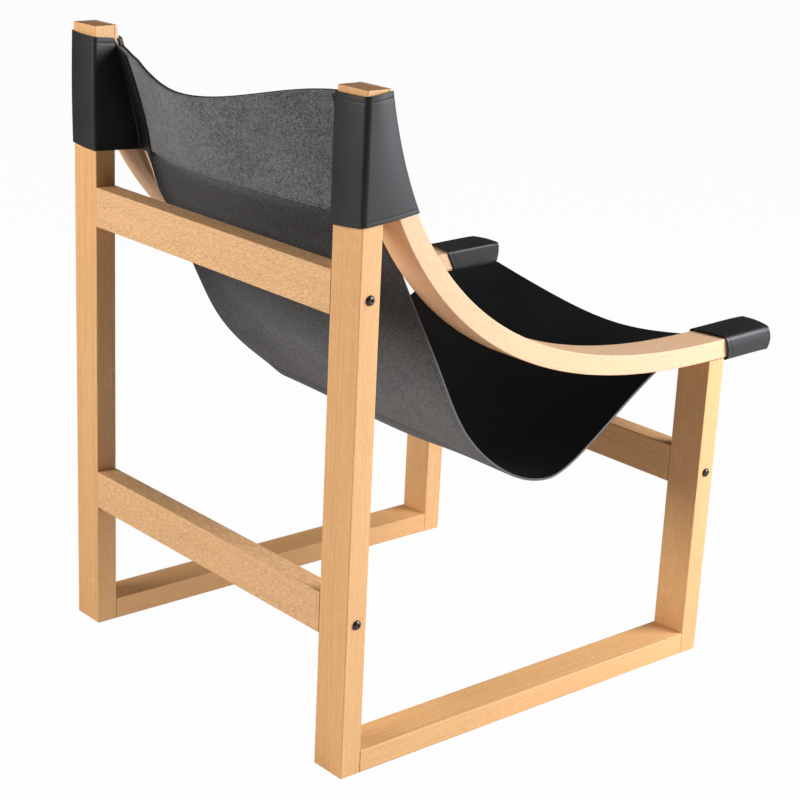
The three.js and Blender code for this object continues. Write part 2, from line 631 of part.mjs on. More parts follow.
function sling() {
  const group = new THREE.Group();
  group.add(pieceOf("sling_panel", slingSheet([...HELD_ROWS, ...FREE_ROWS], 0), HIDE_GRAIN));
  group.add(pieceOf("back_band", slingSheet(HELD_ROWS, -HIDE - SLEEVE_GAP), HIDE_SUEDE));
  group.add(...SIDES.map(rearSleeve), ...SIDES.map(frontSleeve));
  return group;
}

const chair = new THREE.Group();
chair.add(...SIDES.map(sideFrame), ...RAILS.map(crossRail), sling());

// The origin is on the floor, at the middle of the footprint
const extent = new THREE.Box3().setFromObject(chair);
const centre = extent.getCenter(new THREE.Vector3());
chair.position.set(-centre.x, -centre.y, -extent.min.z);

export default chair;
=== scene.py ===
import math

import bmesh
import bpy
from mathutils import Matrix, Vector


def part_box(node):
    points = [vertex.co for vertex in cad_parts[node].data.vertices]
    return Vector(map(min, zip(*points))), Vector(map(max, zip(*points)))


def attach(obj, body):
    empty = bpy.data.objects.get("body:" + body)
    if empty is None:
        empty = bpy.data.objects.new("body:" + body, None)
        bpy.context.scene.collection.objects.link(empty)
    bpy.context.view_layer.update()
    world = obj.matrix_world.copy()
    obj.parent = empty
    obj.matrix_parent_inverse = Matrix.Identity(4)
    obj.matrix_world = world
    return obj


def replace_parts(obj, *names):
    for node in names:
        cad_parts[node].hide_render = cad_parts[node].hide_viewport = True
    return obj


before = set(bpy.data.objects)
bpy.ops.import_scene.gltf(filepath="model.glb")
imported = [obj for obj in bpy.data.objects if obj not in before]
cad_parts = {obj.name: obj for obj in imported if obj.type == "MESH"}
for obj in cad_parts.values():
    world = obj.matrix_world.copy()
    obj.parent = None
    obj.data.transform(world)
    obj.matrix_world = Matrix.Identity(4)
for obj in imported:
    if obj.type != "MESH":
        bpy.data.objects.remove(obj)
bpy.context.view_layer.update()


# ---- Camera: stands behind the chair's right side, a little above the posts' tops. Its place, turn and lens
# were solved from the photograph's straight timber edges.
post_back_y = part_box("rear_post_right")[1].y
camera = bpy.data.objects.new("camera", bpy.data.cameras.new("camera"))
bpy.context.scene.collection.objects.link(camera)
camera.data.sensor_width = 36
camera.data.lens = 87.634
camera.data.shift_x = 0.0514
camera.data.shift_y = 0.0362
camera_right = Vector((-0.63502587, -0.77152448, 0.03862797))
camera_down = Vector((-0.27669404, 0.18048501, -0.94385675))
camera_ahead = Vector((0.72123682, -0.61006159, -0.32808887))
camera_turn = Matrix((camera_right, -camera_down, -camera_ahead)).transposed().to_4x4()
camera_place = (-1.842436, 1.307054 + post_back_y, 1.142547)
camera.matrix_world = Matrix.Translation(camera_place) @ camera_turn
bpy.context.scene.camera = camera
bpy.context.scene.view_settings.view_transform = "Standard"


# ---- Studio: a plain pale floor, a broad soft lamp beyond each of the two sides that the camera sees, a
# weaker one overhead, and a faint even world. The camera alone sees the world and the floor as white paper.
def node(tree, kind, settings=None, **inputs):
    made = tree.nodes.new(kind)
    for name, value in (settings or {}).items():
        setattr(made, name, value)
    for name, value in inputs.items():
        socket = made.inputs[int(name[1:])] if name[0] == "_" else made.inputs[name.replace("_", " ")]
        if isinstance(value, bpy.types.NodeSocket):
            tree.links.new(value, socket)
        else:
            socket.default_value = value
    return made


def lamp(name, place, aim, width, height, watts, colour=(1, 1, 1)):
    light = bpy.data.lights.new(name, "AREA")
    light.shape = "RECTANGLE"
    light.size = width
    light.size_y = height
    light.energy = watts
    light.color = colour
    made = bpy.data.objects.new(name, light)
    made.location = place
    made.rotation_euler = (Vector(aim) - Vector(place)).to_track_quat("-Z", "Y").to_euler()
    bpy.context.scene.collection.objects.link(made)


lamp("key_lamp", place=(-1.9, -1.5, 1.4), aim=(0, 0, 0.5), width=1.6, height=1.7, watts=113,
     colour=(0.975, 1.0, 1.05))
lamp("back_lamp", place=(1.0, 2.9, 1.6), aim=(0, 0, 0.45), width=1.8, height=1.5, watts=82,
     colour=(1.0, 0.955, 0.89))
lamp("overhead_lamp", place=(0.2, -0.3, 3.4), aim=(0, 0, 0.3), width=2.0, height=2.0, watts=8)

world = bpy.data.worlds.new("studio")
bpy.context.scene.world = world
world.use_nodes = True
world.node_tree.nodes.clear()
rays = node(world.node_tree, "ShaderNodeLightPath")
even = node(world.node_tree, "ShaderNodeBackground", Color=(1.0, 0.98, 0.96, 1), Strength=0.095)
white = node(world.node_tree, "ShaderNodeBackground", Color=(1, 1, 1, 1), Strength=1.0)
seen = node(world.node_tree, "ShaderNodeMixShader", Fac=rays.outputs["Is Camera Ray"])
world.node_tree.links.new(even.outputs[0], seen.inputs[1])
world.node_tree.links.new(white.outputs[0], seen.inputs[2])
node(world.node_tree, "ShaderNodeOutputWorld", Surface=seen.outputs[0])


def fresh_material(name):
    made = bpy.data.materials.new(name)
    made.use_nodes = True
    made.node_tree.nodes.clear()
    return made, made.node_tree


def finished_piece(name, bm, material, slot=None):
    mesh = bpy.data.meshes.new(name)
    bm.to_mesh(mesh)
    bm.free()
    for each in material if isinstance(material, (list, tuple)) else [material]:
        mesh.materials.append(each)
    made = bpy.data.objects.new(name, mesh)
    bpy.context.scene.collection.objects.link(made)
    if slot:
        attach(made, "root")
    return made


floor_size = 12
paper_white = 0.97
floor_paper, tree = fresh_material("floor_paper")
rays = node(tree, "ShaderNodeLightPath")
paper = node(tree, "ShaderNodeBsdfPrincipled", Base_Color=(0.62, 0.62, 0.62, 1), Roughness=0.9)
glow = node(tree, "ShaderNodeEmission", Color=(1, 1, 1, 1), Strength=1.0)
to_camera = rays.outputs["Is Camera Ray"]
lift = node(tree, "ShaderNodeMath", {"operation": "MULTIPLY"}, _0=to_camera, _1=paper_white)
mixed = node(tree, "ShaderNodeMixShader", Fac=lift.outputs[0])
tree.links.new(paper.outputs[0], mixed.inputs[1])
tree.links.new(glow.outputs[0], mixed.inputs[2])
node(tree, "ShaderNodeOutputMaterial", Surface=mixed.outputs[0])
bm = bmesh.new()
bmesh.ops.create_grid(bm, x_segments=1, y_segments=1, size=floor_size)
floor = finished_piece("floor", bm, floor_paper)


# ---- Oak timbers: rear posts, front legs, floor runners and three cross rails, 51 x 29 mm, planed and oiled,
# with eased arrises. Each is the CAD solid's own shape, so its bores and pockets are kept inside the joints.
def math_node(tree, operation, a, b=0.0):
    return node(tree, "ShaderNodeMath", {"operation": operation}, _0=a, _1=b).outputs[0]


def ramp(tree, value, *stops):
    made = node(tree, "ShaderNodeValToRGB", Fac=value)
    for place, _ in stops[2:]:
        made.color_ramp.elements.new(place)
    for element, (place, shade) in zip(made.color_ramp.elements, sorted(stops)):
        element.position = place
        element.color = (*shade, 1) if isinstance(shade, tuple) else (shade, shade, shade, 1)
    return made.outputs[0]


def mix_colour(tree, share, a, b):
    made = node(tree, "ShaderNodeMix", {"data_type": "RGBA"}, _0=share)
    for socket, value in ((made.inputs[6], a), (made.inputs[7], b)):
        if isinstance(value, bpy.types.NodeSocket):
            tree.links.new(value, socket)
        else:
            socket.default_value = (*value, 1)
    return made.outputs[2]


def new_group(name, inputs, outputs):
    tree = bpy.data.node_groups.new(name, "ShaderNodeTree")
    for socket, kind in inputs:
        tree.interface.new_socket(socket, in_out="INPUT", socket_type=kind)
    for socket, kind in outputs:
        tree.interface.new_socket(socket, in_out="OUTPUT", socket_type=kind)
    return tree, tree.nodes.new("NodeGroupInput").outputs, tree.nodes.new("NodeGroupOutput").inputs


def scaled(tree, vector, size):
    return node(tree, "ShaderNodeMapping", Vector=vector, Scale=size).outputs[0]


def noise(tree, vector, size, scale=1.0, detail=2.0, roughness=0.5, distortion=0.0):
    made = node(tree, "ShaderNodeTexNoise", Vector=scaled(tree, vector, size), Scale=scale, Detail=detail,
                Roughness=roughness, Distortion=distortion)
    return made.outputs["Fac"]


# Noise that sways to either side of zero
def waver(tree, vector, size, detail, reach):
    around_zero = math_node(tree, "SUBTRACT", noise(tree, vector, size, detail=detail), 0.5)
    return math_node(tree, "MULTIPLY", around_zero, reach)


def object_place(tree):
    return node(tree, "ShaderNodeTexCoord").outputs["Object"]


# Ends a material with its surface. A bump is given as height, strength and distance
def surface(tree, bumped=None, **inputs):
    if bumped:
        height, strength, distance = bumped
        bump = node(tree, "ShaderNodeBump", Strength=strength, Distance=distance, Height=height)
        inputs["Normal"] = bump.outputs[0]
    shader = node(tree, "ShaderNodeBsdfPrincipled", **inputs)
    node(tree, "ShaderNodeOutputMaterial", Surface=shader.outputs[0])


# Sawn oak: growth rings round a pith outside the timber, open pores drawn out along the grain, and rays
tree, given, made = new_group(
    "oak_figure",
    [("Timber", "NodeSocketVector"), ("End", "NodeSocketFloat"), ("Open pores", "NodeSocketFloat")],
    [("Colour", "NodeSocketColor"), ("Roughness", "NodeSocketFloat"), ("Height", "NodeSocketFloat")],
)
ring_width = 0.0036
late_wood = (0.780, 0.420, 0.165)
early_wood = (0.660, 0.335, 0.120)
pale_fibre = (0.860, 0.500, 0.215)
warm_patch = (0.600, 0.285, 0.092)
ray_fleck = (0.880, 0.560, 0.265)
pore_shade = (0.340, 0.145, 0.048)
end_wood = [(0.330, 0.165, 0.075), (0.430, 0.225, 0.105)]
end_pore = (0.160, 0.075, 0.035)
timber, end = given["Timber"], given["End"]
parts = node(tree, "ShaderNodeSeparateXYZ", Vector=timber).outputs
sway = waver(tree, timber, (9, 9, 2.2), detail=1, reach=0.030)
from_pith = node(tree, "ShaderNodeCombineXYZ", X=math_node(tree, "ADD", parts["X"], sway), Y=parts["Y"])
radius = node(tree, "ShaderNodeVectorMath", {"operation": "LENGTH"}, _0=from_pith.outputs[0]).outputs["Value"]
drift = waver(tree, timber, (60, 60, 3), detail=3, reach=0.0045)
ring = math_node(tree, "FRACT", math_node(tree, "DIVIDE", math_node(tree, "ADD", radius, drift), ring_width))
early = ramp(tree, ring, (0.0, 0.55), (0.16, 1.0), (0.5, 0.25), (0.86, 0.0), (1.0, 0.55))
pores = ramp(tree, noise(tree, timber, (900, 900, 70), detail=3, roughness=0.7), (0.52, 0.0), (0.66, 1.0))
more_if_early = math_node(tree, "ADD", math_node(tree, "MULTIPLY", early, 0.55), 0.45)
pores = math_node(tree, "MULTIPLY", pores, more_if_early)
fibres = noise(tree, timber, (420, 420, 12), detail=4, roughness=0.7)
rays_seen = ramp(tree, noise(tree, timber, (70, 700, 160), detail=1), (0.62, 0.0), (0.7, 1.0))
tone = noise(tree, timber, (14, 14, 1.3), detail=2)
colour = mix_colour(tree, early, late_wood, early_wood)
colour = mix_colour(tree, ramp(tree, fibres, (0.32, 0.0), (0.68, 0.75)), colour, pale_fibre)
colour = mix_colour(tree, ramp(tree, tone, (0.3, 0.0), (0.7, 0.34)), colour, warm_patch)
colour = mix_colour(tree, math_node(tree, "MULTIPLY", rays_seen, 0.22), colour, ray_fleck)
open_pores = math_node(tree, "MULTIPLY", pores, given["Open pores"])
colour = mix_colour(tree, open_pores, colour, pore_shade)
sawn_end = mix_colour(tree, ring, *end_wood)
sawn_end = mix_colour(tree, math_node(tree, "MULTIPLY", pores, 0.6), sawn_end, end_pore)
tree.links.new(mix_colour(tree, end, colour, sawn_end), made["Colour"])
tree.links.new(math_node(tree, "ADD", math_node(tree, "MULTIPLY", pores, 0.16), 0.46), made["Roughness"])
height = math_node(tree, "SUBTRACT", math_node(tree, "MULTIPLY", fibres, 0.35), pores)
tree.links.new(height, made["Height"])
oak_figure = tree


dark_fleck = (0.400, 0.200, 0.085)
light_fleck = (1.000, 0.760, 0.520)


def oiled_oak(name, paleness_and_sheen, open_pores, flecked, pale=(0.800, 0.530, 0.320)):
    made, tree = fresh_material(name)
    timber = node(tree, "ShaderNodeAttribute", {"attribute_name": "timber"}).outputs["Vector"]
    end = node(tree, "ShaderNodeAttribute", {"attribute_name": "end"}).outputs["Fac"]
    figure = node(tree, "ShaderNodeGroup", {"node_tree": oak_figure}, Timber=timber, End=end,
                  Open_pores=open_pores).outputs
    # Side grain paled toward a light colour: partly the oak's own tone, partly painted sheen standing in for
    # the glare on lit sides
    pale_and_sheen_share = math_node(tree, "MULTIPLY", math_node(tree, "SUBTRACT", 1.0, end), paleness_and_sheen)
    shade = mix_colour(tree, pale_and_sheen_share, figure["Colour"], pale)
    flecks = noise(tree, timber, (1000, 1000, 130), detail=2, roughness=0.6)
    shade = mix_colour(tree, ramp(tree, flecks, (0.36, flecked), (0.50, 0.0)), shade, dark_fleck)
    shade = mix_colour(tree, ramp(tree, flecks, (0.50, 0.0), (0.64, flecked)), shade, light_fleck)
    surface(tree, bumped=(figure["Height"], 0.35, 0.0003), Base_Color=shade,
            Roughness=figure["Roughness"], Specular_IOR_Level=0.4)
    return made


# Each paleness value holds painted sheen as well as the timber's own paler tone
golden_oak = oiled_oak("golden_oak", paleness_and_sheen=0.10, open_pores=0.20, flecked=0.10)
pale_oak = oiled_oak("pale_oak", paleness_and_sheen=0.30, open_pores=0.60, flecked=0.40)
arm_oak = oiled_oak("arm_oak", paleness_and_sheen=0.58, open_pores=0.20, flecked=0.14, pale=(0.840, 0.575, 0.390))
arris_ease = 0.0013
weld = 1e-6
touching = 1e-5


# Writes each point's place in its plank, z along the grain, and makes the layer that marks end grain
def mark_grain(bm, along, plank):
    grain = bm.verts.layers.float_vector.new("timber")
    end = bm.verts.layers.float.new("end")
    around = [axis for axis in range(3) if axis != along]
    for vert in bm.verts:
        vert[grain] = Vector((vert.co[around[0]], vert.co[around[1]], vert.co[along])) + Vector(plank)
    return end


# End grain stops at the arris, so its faces get points of their own
def split_ends(bm, faces, end):
    bmesh.ops.split_edges(bm, edges=list({edge for face in faces for edge in face.edges}))
    for face in faces:
        for vert in face.verts:
            vert[end] = 1.0


def smooth_but_sharp(piece, degrees):
    piece.data.shade_smooth()
    piece.data.set_sharp_from_angle(angle=math.radians(degrees))
    even_out = piece.modifiers.new("even_normals", "WEIGHTED_NORMAL")
    even_out.keep_sharp = True


def oak_timber(name, along, plank, oak, ends_eased=False):
    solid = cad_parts[name]
    low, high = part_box(name)
    bm = bmesh.new()
    bm.from_mesh(solid.data)
    bmesh.ops.remove_doubles(bm, verts=bm.verts, dist=weld)
    bmesh.ops.dissolve_limit(bm, angle_limit=0.01, verts=bm.verts, edges=bm.edges)
    mark_grain(bm, along, plank)

    def on_box(vert, axis):
        return min(abs(vert.co[axis] - low[axis]), abs(vert.co[axis] - high[axis])) < touching

    arrises = []
    for edge in bm.edges:
        shared = [axis for axis in range(3) if all(on_box(vert, axis) for vert in edge.verts)]
        lies_along = abs((edge.verts[0].co - edge.verts[1].co).normalized()[along]) > 0.9
        if len(shared) >= 2 and edge.calc_face_angle(0) > 1 and (lies_along or ends_eased):
            arrises.append(edge)
    bmesh.ops.bevel(bm, geom=arrises, offset=arris_ease, segments=3, profile=0.5, affect="EDGES", material=-1)
    ends = [face for face in bm.faces if abs(face.normal[along]) > 0.9]
    split_ends(bm, ends, bm.verts.layers.float["end"])
    made = finished_piece(f"{name}_oak", bm, oak, "oak")
    smooth_but_sharp(made, 35)
    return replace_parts(made, name)


# Each timber's place in its plank, measured from the pith, so that no two show the same figure
for side, sign in (("right", -1), ("left", 1)):
    oak_timber(f"rear_post_{side}", 2, (0.010 - sign * 0.27, 0.045 - post_back_y, 0.3 * sign), golden_oak,
               ends_eased=True)
    oak_timber(f"front_leg_{side}", 2, (0.060 - sign * 0.25, 0.300, 1.1 + 0.4 * sign), golden_oak)
    oak_timber(f"floor_runner_{side}", 1, (0.050 - sign * 0.26, 0.020, 2.3 + 0.5 * sign), golden_oak)
oak_timber("upper_rear_rail", 0, (0.060 - post_back_y, -0.575, 3.4), pale_oak)
oak_timber("lower_rear_rail", 0, (0.072 - post_back_y, -0.190, 4.3), pale_oak)
oak_timber("front_rail", 0, (0.320, -0.250, 5.2), golden_oak)


# ---- Arms: one curved oak piece each, 51 x 25.5 mm, bent to a sweep that falls from the top of the rear post
# and runs level past the front leg. The top is tapered to a feather edge where it is glued to the post.
arm_thick = 0.0255
arm_tip = 0.431
arm_end_depth = 0.712
post_height = 0.810
post_thick = 0.029
arm_line = [(0.01925, 0.810), (0.09825, 0.360), (0.600, 0.436), (0.712, 0.431)]
joint_gap = 0.0003
arm_steps = 96


def curve_point(points, share):
    a, b, c, d = (Vector(point) for point in points)
    rest = 1 - share
    return rest ** 3 * a + 3 * rest ** 2 * share * b + 3 * rest * share ** 2 * c + share ** 3 * d


# The curve's direction, as a unit vector
def curve_way(points, share):
    a, b, c, d = (Vector(point) for point in points)
    rest = 1 - share
    return (rest ** 2 * (b - a) + 2 * rest * share * (c - b) + share ** 2 * (d - c)).normalized()


# A point of the arm's side outline, as depth before the post's back and height, lifted off its centre line
def arm_point(share, lift):
    way = curve_way(arm_line, share)
    return curve_point(arm_line, share) + Vector((-way.y, way.x)) * lift


# The point where that lifted line reaches a given depth (axis 0) or height (axis 1)
def arm_face(value, axis, lift):
    low, high = 0.0, 1.0
    rising = arm_point(1, lift)[axis] > arm_point(0, lift)[axis]
    for _ in range(40):
        middle = (low + high) / 2
        if (arm_point(middle, lift)[axis] < value) == rising:
            low = middle
        else:
            high = middle
    return arm_point(low, lift)


def oak_arm(side, sign, plank):
    low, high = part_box(f"arm_{side}")
    centre, width = (low.x + high.x) / 2, high.x - low.x
    bm = bmesh.new()
    bmesh.ops.create_cube(bm, size=1, matrix=Matrix.Diagonal((width, arm_thick, 1.0, 1)))
    upright = [edge for edge in bm.edges if abs(edge.verts[0].co.z - edge.verts[1].co.z) > 0.5]
    tip = [edge for edge in bm.edges if all(vert.co.z > 0 for vert in edge.verts)]
    arrises = upright + tip
    bmesh.ops.bevel(bm, geom=arrises, offset=arris_ease, segments=3, profile=0.5, affect="EDGES", material=-1)
    for step in range(1, arm_steps):
        cut_at = -0.5 + step / arm_steps
        every = bm.verts[:] + bm.edges[:] + bm.faces[:]
        bmesh.ops.bisect_plane(bm, geom=every, plane_co=(0, 0, cut_at), plane_no=(0, 0, 1))
    end = mark_grain(bm, 2, plank)
    for vert in bm.verts:
        if vert.co.z > 0.4999:
            vert[end] = 1.0
        place = arm_point(vert.co.z + 0.5, vert.co.y)
        vert.co = Vector((centre + vert.co.x, post_back_y - place.x, place.y))
    bed = post_back_y - post_thick - joint_gap
    for place, away in (((0, bed, 0), (0, 1, 0)), ((0, 0, post_height), (0, 0, 1))):
        every = bm.verts[:] + bm.edges[:] + bm.faces[:]
        cut = bmesh.ops.bisect_plane(bm, geom=every, plane_co=place, plane_no=away, clear_outer=True)
        rim = [item for item in cut["geom_cut"] if isinstance(item, bmesh.types.BMEdge)]
        bmesh.ops.contextual_create(bm, geom=rim)
    bmesh.ops.recalc_face_normals(bm, faces=bm.faces)
    level = [face for face in bm.faces if face.normal.z > 0.95]
    split_ends(bm, [face for face in level if face.calc_center_median().z > post_height - 1e-4], end)
    made = finished_piece(f"arm_{side}_oak", bm, arm_oak, "oak")
    smooth_but_sharp(made, 35)
    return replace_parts(made, f"arm_{side}")


oak_arm("right", -1, (0.052, 0.034, 6.1))
oak_arm("left", 1, (0.041, 0.040, 7.4))


# ---- Joinery inside: plain beech dowels and loose tenons, turned and milled, that fit snugly in their
# pockets. The CAD solids stay, in pale unfinished beech.
plain_beech, tree = fresh_material("plain_beech")
here = object_place(tree)
flecks = noise(tree, here, (300, 300, 300), detail=3)
shade = mix_colour(tree, flecks, (0.720, 0.510, 0.300), (0.820, 0.620, 0.400))
surface(tree, bumped=(flecks, 0.2, 0.0002), Base_Color=shade, Roughness=0.7)
for name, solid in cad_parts.items():
    if "dowel" in name or "tenon" in name:
        solid.data.materials.clear()
        solid.data.materials.append(plain_beech)


# ---- Bolts: six M6 button heads with a hex socket, blackened steel, through the post or leg into a
# zinc-plated barrel nut in the rail. The heads are the CAD solids' shape with smooth domes.
black_steel, tree = fresh_material("black_steel")
here = object_place(tree)
rubbed = noise(tree, here, (900, 900, 900), detail=3)
worn = ramp(tree, rubbed, (0.45, 0.0), (0.75, 1.0))
shade = mix_colour(tree, worn, (0.055, 0.047, 0.042), (0.150, 0.130, 0.115))
dull = ramp(tree, rubbed, (0.2, 0.22), (0.8, 0.38))
surface(tree, Base_Color=shade, Roughness=dull, Metallic=0.9)

zinc_plate, tree = fresh_material("zinc_plate")
here = object_place(tree)
spangle = noise(tree, here, (500, 500, 500), detail=2)
shade = mix_colour(tree, spangle, (0.50, 0.51, 0.53), (0.62, 0.63, 0.64))
dull = ramp(tree, spangle, (0.3, 0.3), (0.7, 0.45))
surface(tree, Base_Color=shade, Roughness=dull, Metallic=1.0)

for name, solid in list(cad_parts.items()):
    if name.endswith("_nut"):
        solid.data.materials.clear()
        solid.data.materials.append(zinc_plate)
    if name.endswith("_bolt"):
        bm = bmesh.new()
        bm.from_mesh(solid.data)
        bmesh.ops.remove_doubles(bm, verts=bm.verts, dist=weld)
        bolt = finished_piece(f"{name}_black", bm, black_steel, "dark_steel")
        smooth_but_sharp(bolt, 40)
        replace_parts(bolt, name)


# ---- Sling: one black hide, 3 mm thick, grain side to the sitter and raw flesh side behind and below. It
# hangs between the two rear sleeves and the two front sleeves, and its cut edges are left square and grey.
inner_x = 0.239
timber_width = 0.051
sleeve_gap = 0.0003
skived = 0.0022
hide = 0.003
hide_reach = sleeve_gap + hide / 2
sling_half_width = inner_x - sleeve_gap - skived - sleeve_gap
sleeve_top_outside = 0.003
sleeve_top_inside = 0.012
sleeve_foot_inside = 0.156
chord_top = arm_face(post_height - sleeve_top_outside, 1, arm_thick / 2)
chord_foot = arm_face(post_height - sleeve_foot_inside, 1, arm_thick / 2)


def between(a, b, share):
    return a + (b - a) * share


def eased(low, high, value):
    share = min(max((value - low) / (high - low), 0.0), 1.0)
    return share * share * (3 - 2 * share)


def swell(most, value, middle, spread):
    return most * math.exp(-(((value - middle) / spread) ** 2))


# A sleeve is pulled straight across the arm's hollow front: its depth in front of the post's back at a height
def chord_depth(height):
    share = (height - chord_foot.y) / (chord_top.y - chord_foot.y)
    return between(chord_foot.x, chord_top.x, share)


# A line of straight (two points) and curved (four points) stretches that is read by its length
class LongLine:
    steps = 200

    def __init__(self, stretches):
        self.points = [Vector(stretches[0][0])]
        self.runs = [0.0]
        for stretch in stretches:
            for step in range(1, self.steps + 1):
                if len(stretch) == 2:
                    point = Vector(stretch[0]).lerp(Vector(stretch[1]), step / self.steps)
                else:
                    point = curve_point(stretch, step / self.steps)
                self.runs.append(self.runs[-1] + (point - self.points[-1]).length)
                self.points.append(point)
        self.length = self.runs[-1]

    def at(self, share):
        run = min(max(share, 0.0), 1.0) * self.length
        low, high = 0, len(self.runs) - 1
        while high - low > 1:
            middle = (low + high) // 2
            low, high = (middle, high) if self.runs[middle] <= run else (low, middle)
        part = (run - self.runs[low]) / (self.runs[high] - self.runs[low])
        return self.points[low].lerp(self.points[high], part)


def under_arm(depth):
    return arm_face(depth, 0, -arm_thick / 2).y - hide_reach


# The hide's middle surface as depth in front of the post's back and height: one line down its edges, which
# starts in the rear sleeve and ends under the arm, and one down its middle, both lowest at the same depth
rear_top = post_height - sleeve_top_inside
rear_foot = post_height - sleeve_foot_inside
set_back_top = 0.014
set_back_foot = 0.022
low_depth = 0.362
edge_hang = 0.139
middle_hang = 0.154
front_sleeve_width = 0.097
run_in = 0.025
edge_top = Vector((chord_depth(rear_top) + hide_reach - set_back_top, rear_top))
edge_foot = Vector((chord_depth(rear_foot) + hide_reach - set_back_foot, rear_foot))
edge_low = Vector((low_depth, arm_tip - edge_hang))
lead_depth = arm_end_depth - front_sleeve_width - run_in
edge_lead = Vector((lead_depth, under_arm(lead_depth)))
edge_end = Vector((arm_end_depth + 0.001, under_arm(arm_end_depth)))
edge_line = LongLine([
    (edge_top, edge_foot),
    (edge_foot, edge_foot + Vector((0.059, -0.093)), edge_low - Vector((0.141, 0)), edge_low),
    (edge_low, edge_low + Vector((0.045, 0)), edge_lead - Vector((0.077, 0.035)), edge_lead),
    (edge_lead, edge_end),
])
middle_top = Vector((-0.052, post_height - 0.005))
middle_low = Vector((low_depth, arm_tip - middle_hang))
middle_end = Vector((arm_end_depth + 0.012, arm_tip - 0.053))
middle_line = LongLine([
    (middle_top, middle_top + Vector((0.076, -0.195)), middle_low - Vector((0.091, 0)), middle_low),
    (middle_low, middle_low + Vector((0.090, 0)), middle_end - Vector((0.158, 0.008)), middle_end),
])
rear_held = (edge_foot - edge_top).length / edge_line.length
front_held = 1 - (edge_end - edge_lead).length / edge_line.length
hollow = 0.0425 / middle_line.length
tight_when_free = 2.0
tight_when_held = 4.5


# Half the hide's width, which flares between the sleeves and is waisted at the seat's bend
def sling_half(along):
    free = min(max((along - rear_held) / (front_held - rear_held), 0), 1)
    flare = 0.014 * math.sin(math.pi * free) ** 2
    return sling_half_width + flare - swell(0.024, free, 0.48, 0.13)


# Each rear sleeve's flap draws the hide forward, most along the flap's own edge. Below the left one it
# springs back, and the left top corner is cut lower. The lengths are metres, and "height" is above the floor
left_draw = {"most": 0.0135, "height": 0.725, "above": 0.12, "below": 0.085, "back": 0.0032, "corner": 0.0175}
right_draw = {"most": 0.0070, "height": 0.740, "above": 0.12, "below": 0.055, "back": 0.0, "corner": -0.0004}
flap_reach = 0.87


def drawn_forward(across, height):
    draw = left_draw if across > 0 else right_draw
    reach = abs(across)
    rise = height - draw["height"]
    if rise > 0:
        fall = math.exp(-(rise / draw["above"]) ** 2)
    else:
        fall = math.exp(-(-rise / draw["below"]) ** 3)
    at_flap = eased(0.42, flap_reach, reach) - 0.25 * max((reach - flap_reach) / 0.13, 0) ** 2
    sprung = swell(draw["back"], height, 0.596, 0.022) * eased(0.6, 1.0, reach)
    return draw["most"] * fall * at_flap - sprung


# The free edges hang slack. The left one bags out behind the seat's bend and is drawn in under it, and the
# right one bags out behind it and drops below it. Gives how far an edge lies forward and up
def slack_edge(across, along):
    free = (along - rear_held) / (front_held - rear_held)
    if across > 0:
        bag = swell(0.0075, free, 0.385, 0.085)
        drawn_in = swell(0.0060, free, 0.515, 0.055)
        return Vector((drawn_in - bag, 0)) * eased(0.2, 1.0, across)
    bag = swell(0.0042, free, 0.37, 0.12)
    drop = swell(0.0042, free, 0.57, 0.13)
    return Vector((-bag, -drop)) * eased(0.2, 1.0, -across)


# A point of the hide's middle surface: across from -1 at the right edge to 1 at the left, along from 0 at the
# top to 1 at the front. Between the edges and the middle it follows a hyperbola, and the top is cut hollow
def sling_point(across, along):
    held = min(max(1 - along / rear_held, 0), 1)
    reach = abs(across)
    corner = (left_draw if across > 0 else right_draw)["corner"]
    corner *= eased(0.47, 0.84, reach) - 0.26 * eased(0.84, 1.0, reach)
    cut_along = along + held * (hollow * (1 + math.cos(math.pi * across)) / 2 + corner / edge_line.length)
    tightness = between(tight_when_free, tight_when_held, held)
    toward_edge = (math.hypot(1, tightness * across) - 1) / (math.hypot(1, tightness) - 1)
    place = middle_line.at(cut_along).lerp(edge_line.at(cut_along), toward_edge)
    forward, up = slack_edge(across, along)
    depth = place.x + drawn_forward(across, place.y) + forward
    return Vector((across * sling_half(along), post_back_y - depth, place.y + up))


# A point the given distance behind that surface, in the upright plane through its own point
def behind_sling(across, along, away):
    step = 0.004
    aside = sling_point(min(across + step, 1), along) - sling_point(max(across - step, -1), along)
    down = sling_point(across, min(along + step, 1)) - sling_point(across, max(along - step, 0))
    normal = aside.cross(down).normalized()
    lean = Vector((0, normal.y, normal.z))
    return sling_point(across, along) + lean / lean.length_squared * away


# Dyed grain side: fine pores and broad uneven patches, drawn out alike in every direction
tree, given, made = new_group(
    "hide_skin",
    [("Place", "NodeSocketVector")],
    [("Patches", "NodeSocketFloat"), ("Height", "NodeSocketFloat")],
)
alike = (1, 1, 1)
place = given["Place"]
cells = node(tree, "ShaderNodeTexVoronoi", {"feature": "F1"}, Vector=scaled(tree, place, alike), Scale=750)
fine = noise(tree, place, alike, scale=320, detail=3, roughness=0.6)
broad = noise(tree, place, alike, scale=22, detail=4, roughness=0.6, distortion=0.4)
relief = math_node(tree, "ADD", math_node(tree, "MULTIPLY", cells.outputs["Distance"], 0.5),
                   math_node(tree, "MULTIPLY", fine, 0.6))
tree.links.new(math_node(tree, "ADD", relief, math_node(tree, "MULTIPLY", broad, 0.5)), made["Height"])
tree.links.new(noise(tree, place, alike, scale=9, detail=5, roughness=0.62), made["Patches"])
hide_skin = tree


def smooth_hide(name, dark, pale, dull, gloss):
    made, tree = fresh_material(name)
    here = object_place(tree)
    skin = node(tree, "ShaderNodeGroup", {"node_tree": hide_skin}, Place=here).outputs
    shade = mix_colour(tree, ramp(tree, skin["Patches"], (0.35, 0.0), (0.7, 1.0)), dark, pale)
    rough = ramp(tree, skin["Patches"], (0.3, dull), (0.75, dull + 0.12))
    surface(tree, bumped=(skin["Height"], 0.35, 0.0003), Base_Color=shade, Roughness=rough,
            Specular_IOR_Level=gloss)
    return made


